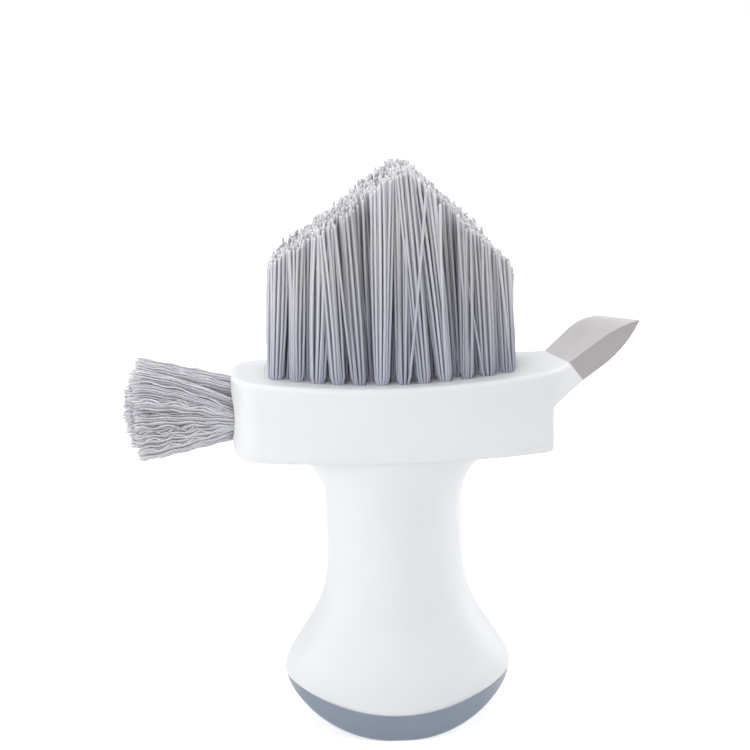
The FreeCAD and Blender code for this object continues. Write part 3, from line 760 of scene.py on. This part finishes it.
@dataclass
class BristleBlock:
    """The upright tufts, in rows across the head, trimmed to a V."""

    row_count: int = 23
    odd_row_tufts: int = 4
    even_row_tufts: int = 3
    filaments: int = 18
    inner_filaments: int = 5
    filament_radius_mm: float = 0.31
    inner_ring_mm: float = 0.45
    outer_ring_mm: float = 0.94
    stations: int = 6
    rim_station: int = 1
    neck_station: int = 2
    sides: int = 6
    foot_gap_mm: float = 1.9
    hole_rest_mm: float = 3.1
    swell: float = 0.45
    swell_height_mm: float = 1.8
    apex_mm: float = 131.9
    apex_shift_mm: float = 3.3
    apex_round_mm: float = 1.5
    end_mm: float = 26.4
    left_end_mm: float = 110.4
    right_end_mm: float = 109.0
    tuft_lean_across: float = 0.1
    tuft_lean_deep: float = 0.025
    inner_freedom: float = 0.3
    half_depth_mm: float = 12.9
    filament_lean: float = 0.006
    stray_share: float = 0.035
    stray_lean: float = 0.11
    stray_deep_share: float = 0.4
    fan: float = 0.032
    gather: float = 0.055
    ragged_mm: float = 0.75
    bow_mm: float = 0.45
    bow_deep_share: float = 0.5
    tuft_tone_share: float = 0.8
    own_tone_share: float = 0.2
    seed: int = 46
    seed_step: int = 10

    def build_tree(self) -> GeometryGraph:
        """Build the tree that grows the filaments of one row on its tuft feet.

        Returns:
            The tree, ready to run.
        """
        graph = GeometryGraph("row_of_tufts")
        seed = graph.given("Seed", "NodeSocketInt")
        finish = graph.given("Finish", "NodeSocketMaterial")
        radius = graph.given("Filament radius")
        apex = graph.given("Apex height")
        shift = graph.given("Apex shift")
        left_fall = graph.given("Left fall")
        right_fall = graph.given("Right fall")
        lean_across = graph.given("Tuft lean across")
        lean_deep = graph.given("Tuft lean deep")
        lean = graph.given("Filament lean")
        stray_share = graph.given("Stray share")
        stray_lean = graph.given("Stray lean")
        fan = graph.given("Fan")
        gather = graph.given("Gather")
        ragged = graph.given("Ragged")
        bow = graph.given("Bow")
        swell = graph.given("Swell")

        tufts = graph.store(graph.geometry, Trait.TUFT_FOOT, graph.position(), VECTOR_DATA)
        _, place_y, _ = graph.parts(graph.position())
        outside = graph.math("ABSOLUTE", place_y) / (self.half_depth_mm * MM)
        freedom = self.inner_freedom + outside * (1.0 - self.inner_freedom)
        swerve = graph.random(-1.0, 1.0, seed, RowDraw.TUFT_ACROSS)
        drift = graph.vector(swerve * swerve * swerve * lean_across * freedom,
                             graph.random(-1.0, 1.0, seed, RowDraw.TUFT_DEEP) * lean_deep * freedom, 0.0)
        tufts = graph.store(tufts, Trait.TUFT_LEAN, drift, VECTOR_DATA)
        tufts = graph.store(tufts, Trait.TUFT_TONE, graph.random(0.0, 1.0, seed, RowDraw.TUFT_TONE))
        feet = graph.spread(tufts, graph.points(self.filaments, self.ring_place(graph)))
        feet = graph.store(feet, Trait.FOOT, graph.position(), VECTOR_DATA)
        tuft_tone = graph.stored(Trait.TUFT_TONE)
        own_tone = graph.random(0.0, self.own_tone_share, seed, RowDraw.TONE)
        feet = graph.store(feet, Trait.TONE, tuft_tone * self.tuft_tone_share + own_tone)
        foot_x, foot_y, foot_z = graph.stored_parts(Trait.FOOT)
        tuft_x, tuft_y, _ = graph.stored_parts(Trait.TUFT_FOOT)
        drift_x, drift_y, _ = graph.stored_parts(Trait.TUFT_LEAN)
        opening = fan * tuft_tone / (self.outer_ring_mm * MM)
        luck = graph.random(0.0, 1.0, seed, RowDraw.STRAY)
        stray = graph.math("LESS_THAN", luck, stray_share) * stray_lean
        slant = graph.vector(
            drift_x + (foot_x - tuft_x) * opening - (tuft_x - shift) / (self.end_mm * MM) * gather
            + graph.random(-1.0, 1.0, seed, RowDraw.LEAN_ACROSS) * (lean + stray),
            drift_y + (foot_y - tuft_y) * opening
            + graph.random(-1.0, 1.0, seed, RowDraw.LEAN_DEEP) * (lean + stray * self.stray_deep_share),
            graph.random(-1.0, 1.0, seed, RowDraw.LENGTH))
        feet = graph.store(feet, Trait.LEAN, slant, VECTOR_DATA)

        curves = graph.spread(feet, graph.strand(self.stations))
        step = graph.factor() * float(self.stations - 1)
        lean_x, lean_y, chance = graph.stored_parts(Trait.LEAN)
        tip_x = foot_x + lean_x * (apex - foot_z) - shift
        crest = self.apex_round_mm * MM
        away = graph.math("SQRT", tip_x * tip_x + crest * crest) - crest
        on_right = graph.math("GREATER_THAN", tip_x, 0.0)
        fall = left_fall + (right_fall - left_fall) * on_right
        length = apex - away * fall + chance * ragged - foot_z
        free_stations = self.stations - 1 - self.neck_station
        out_of_hole = graph.within_one(step - self.rim_station)
        free_share = graph.math("MAXIMUM", step - self.neck_station, 0.0) / float(free_stations)
        neck_top = (self.hole_rest_mm + self.swell_height_mm) * MM
        height = (graph.math("MINIMUM", step, self.rim_station) * (self.hole_rest_mm * MM)
                  + out_of_hole * (self.swell_height_mm * MM) + free_share * (length - neck_top))
        along = height / length
        curves = graph.store(curves, Trait.ALONG, along)
        curve = graph.math("SINE", along * math.pi) * bow * chance
        swelling = out_of_hole * swell
        place = graph.vector(
            foot_x + (foot_x - tuft_x) * swelling + lean_x * height + curve,
            foot_y + (foot_y - tuft_y) * swelling + lean_y * height - curve * self.bow_deep_share,
            foot_z + height)
        graph.finish_tubes(graph.moved(curves, place), radius, self.sides, finish)
        return graph

    def ring_place(self, graph: GeometryGraph) -> bpy.types.NodeSocket:
        """Place the filaments of a tuft in an inner and an outer ring.

        Args:
            graph: The tree to add to.

        Returns:
            The place by the filament's index.
        """
        index = graph.index()
        outer = graph.math("GREATER_THAN", index, self.inner_filaments - 0.5)
        inner_turn = FULL_TURN / self.inner_filaments
        outer_turn = FULL_TURN / (self.filaments - self.inner_filaments)
        angle = index * (outer * (outer_turn - inner_turn) + inner_turn)
        ring = (outer * (self.outer_ring_mm - self.inner_ring_mm) + self.inner_ring_mm) * MM
        return graph.vector(graph.math("COSINE", angle) * ring, graph.math("SINE", angle) * ring, 0.0)

    def tuft_feet(self, node: str, tufts: int) -> list[Vector]:
        """Return the feet of a row's tufts, read from the row's own solid.

        Args:
            node: The row's CAD node.
            tufts: How many tufts stand in the row.

        Returns:
            The middle of each tuft's foot.
        """
        low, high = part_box(node)
        half = (high.x - low.x) / 2
        first, last = low.y + half, high.y - half
        step = (last - first) / (tufts - 1)
        foot = low.z + self.foot_gap_mm * MM
        return [Vector(((low.x + high.x) / 2, first + step * n, foot)) for n in range(tufts)]

    def way_down(self, across_mm: float) -> float:
        """Return a distance from the apex less what the apex's rounding takes."""
        return math.hypot(across_mm, self.apex_round_mm) - self.apex_round_mm

    def build(self) -> None:
        """Grow every row."""
        graph = self.build_tree()
        material = STIFF_FILAMENT.material()
        left_fall = (self.apex_mm - self.left_end_mm) / self.way_down(self.end_mm + self.apex_shift_mm)
        right_fall = (self.apex_mm - self.right_end_mm) / self.way_down(self.end_mm - self.apex_shift_mm)
        for number in range(1, self.row_count + 1):
            node = f"bristle_row_{number:02d}"
            tufts = self.odd_row_tufts if number % 2 else self.even_row_tufts
            values = {
                "Seed": self.seed + self.seed_step * number,
                "Finish": material,
                "Filament radius": self.filament_radius_mm * MM,
                "Apex height": self.apex_mm * MM,
                "Apex shift": self.apex_shift_mm * MM,
                "Left fall": left_fall,
                "Right fall": right_fall,
                "Tuft lean across": self.tuft_lean_across,
                "Tuft lean deep": self.tuft_lean_deep,
                "Filament lean": self.filament_lean,
                "Stray share": self.stray_share,
                "Stray lean": self.stray_lean,
                "Fan": self.fan,
                "Gather": self.gather,
                "Ragged": self.ragged_mm * MM,
                "Bow": self.bow_mm * MM,
                "Swell": self.swell,
            }
            piece = graph.run(f"filaments_{number:02d}", self.tuft_feet(node, tufts), values)
            add_piece(piece, [node])


@dataclass
class SideTuft:
    """The crimped tuft at the left end of the head: rings of wavy locks that fan out."""

    rings: int = 3
    locks_round_middle: int = 6
    strands: int = 44
    stations: int = 18
    sides: int = 3
    strand_radius_mm: float = 0.21
    start_mm: float = -33.4
    start_radius_mm: float = 6.7
    reach_mm: float = 27.0
    end_radius_mm: float = 12.0
    axis_mm: float = 76.7
    axis_rise: float = 0.03
    lock_fill: float = 1.38
    pinch: float = 1.0
    pinch_front: float = 1.5
    pinch_fade: float = 2.2
    pinch_drop_mm: float = 1.5
    crown: float = 0.16
    ragged: float = 0.035
    wave_mm: float = 5.8
    wave_spread: float = 0.15
    pace_turns: float = 3.0
    phase_spread: float = 0.8
    sway_mm: float = 0.24
    sway_rise: float = 2.5
    lock_tone_share: float = 0.25
    own_tone_share: float = 0.3
    pale_share: float = 0.16
    pale_sway: float = 1.3
    pale_stand: float = 0.1
    seed: int = 5

    @property
    def locks_across(self) -> int:
        """How many locks lie on a line through the middle."""
        return 2 * self.rings + 1

    def lock_seeds(self) -> list[Vector]:
        """Place the locks over a disc of radius 1 across X, in rings round a middle lock.

        Returns:
            The middle of each lock.
        """
        seeds = [Vector()]
        for ring in range(1, self.rings + 1):
            count = self.locks_round_middle * ring
            out = 2 * ring / self.locks_across
            for number in range(count):
                angle = FULL_TURN * number / count
                seeds.append(Vector((0.0, out * math.cos(angle), out * math.sin(angle))))
        return seeds

    def strand_place(self, graph: GeometryGraph) -> bpy.types.NodeSocket:
        """Place the strands of a lock evenly over a disc of radius 1 across X.

        Args:
            graph: The tree to add to.

        Returns:
            The place of a strand in its lock, by index.
        """
        index = graph.index()
        ring = graph.math("SQRT", (index + 0.5) / float(self.strands))
        angle = index * GOLDEN_TURN
        return graph.vector(0.0, graph.math("COSINE", angle) * ring, graph.math("SINE", angle) * ring)

    def build_tree(self) -> GeometryGraph:
        """Build the tree that grows wavy strands on the seeds of the locks.

        Returns:
            The tree, ready to run.
        """
        graph = GeometryGraph("crimped_tuft")
        seed = graph.given("Seed", "NodeSocketInt")
        finish = graph.given("Finish", "NodeSocketMaterial")
        radius = graph.given("Strand radius")
        start_radius = graph.given("Start radius")
        end_radius = graph.given("End radius")
        reach = graph.given("Reach")
        wave = graph.given("Wave length")
        sway = graph.given("Sway")
        ragged = graph.given("Ragged")
        crown = graph.given("Crown")
        pinch = graph.given("Pinch")
        pale_share = graph.given("Pale share")

        locks = graph.store(graph.geometry, Trait.DISC, graph.position(), VECTOR_DATA)
        locks = graph.store(locks, Trait.PHASE, graph.random(0.0, FULL_TURN, seed, SideDraw.PHASE))
        locks = graph.store(locks, Trait.SWAY, graph.random(0.0, FULL_TURN, seed, SideDraw.SWAY))
        locks = graph.store(locks, Trait.TUFT_TONE, graph.random(0.0, 1.0, seed, SideDraw.LOCK_TONE))
        feet = graph.spread(locks, graph.points(self.strands, self.strand_place(graph)))
        _, disc_y, disc_z = graph.stored_parts(Trait.DISC)
        _, place_y, place_z = graph.parts(graph.position())
        pale = graph.math("LESS_THAN", graph.random(0.0, 1.0, seed, SideDraw.PALE), pale_share)
        stand = 1.0 + pale * self.pale_stand
        offset = graph.vector(graph.random(-1.0, 1.0, seed, SideDraw.LENGTH),
                              (place_y - disc_y) * stand, (place_z - disc_z) * stand)
        feet = graph.store(feet, Trait.OFFSET, offset, VECTOR_DATA)
        feet = graph.store(feet, Trait.PALE, pale)
        own_tone = graph.random(0.0, self.own_tone_share, seed, SideDraw.TONE)
        tone = graph.stored(Trait.TUFT_TONE) * self.lock_tone_share + own_tone
        feet = graph.store(feet, Trait.TONE, tone + graph.stored(Trait.PALE))

        curves = graph.spread(feet, graph.strand(self.stations))
        along = graph.factor()
        curves = graph.store(curves, Trait.ALONG, along)
        chance, offset_y, offset_z = graph.stored_parts(Trait.OFFSET)
        phase = graph.stored(Trait.PHASE)
        turn = graph.stored(Trait.SWAY)
        length = reach * (1.0 + chance * ragged - (disc_y * disc_y + disc_z * disc_z) * crown)
        run = length * along
        spread = start_radius + (end_radius - start_radius) * run / reach
        room = spread * (self.lock_fill / self.locks_across)
        near = graph.within_one(disc_y * -self.pinch_front)
        gathered = pinch * near * (1.0 - along) ** self.pinch_fade
        tall = spread * (1.0 - gathered)
        middle = self.axis_mm * MM + run * self.axis_rise - gathered * (self.pinch_drop_mm * MM)
        pace = 1.0 + graph.math("SINE", phase * self.pace_turns) * self.wave_spread
        swing = graph.math("SINE", run / wave * pace * FULL_TURN + phase + chance * self.phase_spread)
        livelier = 1.0 + graph.stored(Trait.PALE) * self.pale_sway
        swing = swing * sway * livelier * graph.math("MINIMUM", along * self.sway_rise, 1.0)
        place = graph.vector(
            self.start_mm * MM - run,
            disc_y * spread + offset_y * room + swing * graph.math("COSINE", turn),
            middle + disc_z * tall + offset_z * room + swing * graph.math("SINE", turn))
        graph.finish_tubes(graph.moved(curves, place), radius, self.sides, finish)
        return graph

    def build(self) -> None:
        """Grow the tuft."""
        graph = self.build_tree()
        values = {
            "Seed": self.seed,
            "Finish": CRIMPED_FILAMENT.material(),
            "Strand radius": self.strand_radius_mm * MM,
            "Start radius": self.start_radius_mm * MM,
            "End radius": self.end_radius_mm * MM,
            "Reach": self.reach_mm * MM,
            "Wave length": self.wave_mm * MM,
            "Sway": self.sway_mm * MM,
            "Ragged": self.ragged,
            "Crown": self.crown,
            "Pinch": self.pinch,
            "Pale share": self.pale_share,
        }
        piece = graph.run("side_tuft_filaments", self.lock_seeds(), values)
        add_piece(piece, ["side_tuft"])


@dataclass(frozen=True)
class SoftBox:
    """One large soft lamp that looks at the brush."""

    name: str
    place: Triple
    size: float
    watts: float
    colour: Colour = PLAIN

    def build(self, target: Vector) -> None:
        """Hang the lamp and turn it to a target.

        Args:
            target: The place that it looks at.
        """
        data = bpy.data.lights.new(self.name, "AREA")
        data.shape = "DISK"
        data.size = self.size
        data.energy = self.watts
        data.color = self.colour
        lamp = bpy.data.objects.new(self.name, data)
        lamp.location = self.place
        lamp.rotation_mode = "QUATERNION"
        lamp.rotation_quaternion = (target - Vector(self.place)).to_track_quat("-Z", "Y")
        bpy.context.scene.collection.objects.link(lamp)


@dataclass
class Studio:
    """The white floor, the lamps and the camera at the photograph's angle."""

    target_mm: Triple = (-3.62, 0.0, 83.74)
    azimuth_deg: float = -1.49
    elevation_deg: float = 14.19
    distance_mm: float = 454.28
    roll_deg: float = -1.44
    sensor_mm: float = 36.0
    focal_px: float = 1989.24
    picture_px: float = 750.0
    clip_start: float = 0.01
    floor_half: float = 3.0
    floor_colour: Colour = (0.82, 0.82, 0.82)
    floor_rough: float = 0.9
    floor_glow: float = 0.62
    sky_light: float = 0.47
    lamps: tuple[SoftBox, ...] = (
        SoftBox("side_left", place=(-1.0, -0.2, 0.50), size=0.8, watts=0.9),
        SoftBox("side_right", place=(1.0, 0.3, 0.30), size=0.8, watts=5.2, colour=(0.97, 0.985, 1.0)),
        SoftBox("front_top", place=(-0.35, -1.0, 0.55), size=0.8, watts=3.8),
        SoftBox("above", place=(-0.1, 0.1, 1.2), size=0.9, watts=6.4),
        SoftBox("low_left", place=(-0.6, -0.15, 0.03), size=0.3, watts=0.85),
    )

    def seen_share(self, graph: Graph) -> Field:
        """Tell the rays that show the background from the rays that light the brush.

        Args:
            graph: The tree to add to.

        Returns:
            1 for rays that show the background, 0 for the others.
        """
        path = graph.add("ShaderNodeLightPath")
        seen = Field(graph, path.outputs["Is Camera Ray"])
        for name in ("Is Glossy Ray", "Is Transmission Ray"):
            seen = graph.math("MAXIMUM", seen, Field(graph, path.outputs[name]))
        return seen

    def build_floor(self) -> None:
        """Lay a pale floor that keeps the shadow."""
        half = self.floor_half
        mesh = bpy.data.meshes.new("floor")
        mesh.from_pydata([(-half, -half, 0.0), (half, -half, 0.0), (half, half, 0.0), (-half, half, 0.0)],
                         [], [(0, 1, 2, 3)])
        floor = bpy.data.objects.new("floor", mesh)
        bpy.context.scene.collection.objects.link(floor)
        graph = ShaderGraph("pale_floor")
        graph.setting("Base Color", (*self.floor_colour, 1.0))
        graph.setting("Roughness", self.floor_rough)
        graph.setting("Specular IOR Level", 0.0)
        graph.setting("Emission Color", (*PLAIN, 1.0))
        graph.setting("Emission Strength", self.seen_share(graph) * self.floor_glow)
        mesh.materials.append(graph.material)

    def build_world(self) -> None:
        """Light the brush from all round, with white behind it."""
        world = bpy.data.worlds.new("studio")
        world.use_nodes = True
        bpy.context.scene.world = world
        graph = Graph(world.node_tree)
        world.node_tree.nodes.clear()
        sky = graph.add("ShaderNodeBackground")
        sky.inputs["Color"].default_value = (*PLAIN, 1.0)
        strength = self.seen_share(graph) * (1.0 - self.sky_light) + self.sky_light
        graph.feed(sky.inputs["Strength"], strength)
        output = graph.add("ShaderNodeOutputWorld")
        graph.feed(output.inputs["Surface"], sky.outputs[0])

    def build_camera(self) -> None:
        """Set the camera where the photograph was taken from."""
        data = bpy.data.cameras.new("camera")
        data.sensor_width = self.sensor_mm
        data.lens = self.sensor_mm * self.focal_px / self.picture_px
        data.clip_start = self.clip_start
        camera = bpy.data.objects.new("camera", data)
        around, above = math.radians(self.azimuth_deg), math.radians(self.elevation_deg)
        level = math.cos(above)
        back = Vector((math.sin(around) * level, -math.cos(around) * level, math.sin(above)))
        camera.location = Vector(self.target_mm) * MM + back * self.distance_mm * MM
        camera.rotation_mode = "QUATERNION"
        roll = Quaternion((0.0, 0.0, 1.0), math.radians(self.roll_deg))
        camera.rotation_quaternion = (-back).to_track_quat("-Z", "Y") @ roll
        bpy.context.scene.collection.objects.link(camera)
        bpy.context.scene.camera = camera

    def build(self) -> None:
        """Set up the whole studio."""
        self.build_floor()
        self.build_world()
        for lamp in self.lamps:
            lamp.build(Vector(self.target_mm) * MM)
        self.build_camera()
        bpy.context.scene.view_settings.view_transform = "Standard"
        LOG.info("studio is set")


def main() -> None:
    """Build and dress every piece, then the studio."""
    logging.basicConfig(level=logging.INFO, format="%(name)s: %(message)s")
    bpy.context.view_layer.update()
    RigidParts().dress()
    BristleBlock().build()
    SideTuft().build()
    Studio().build()


if __name__ == "__main__":
    main()
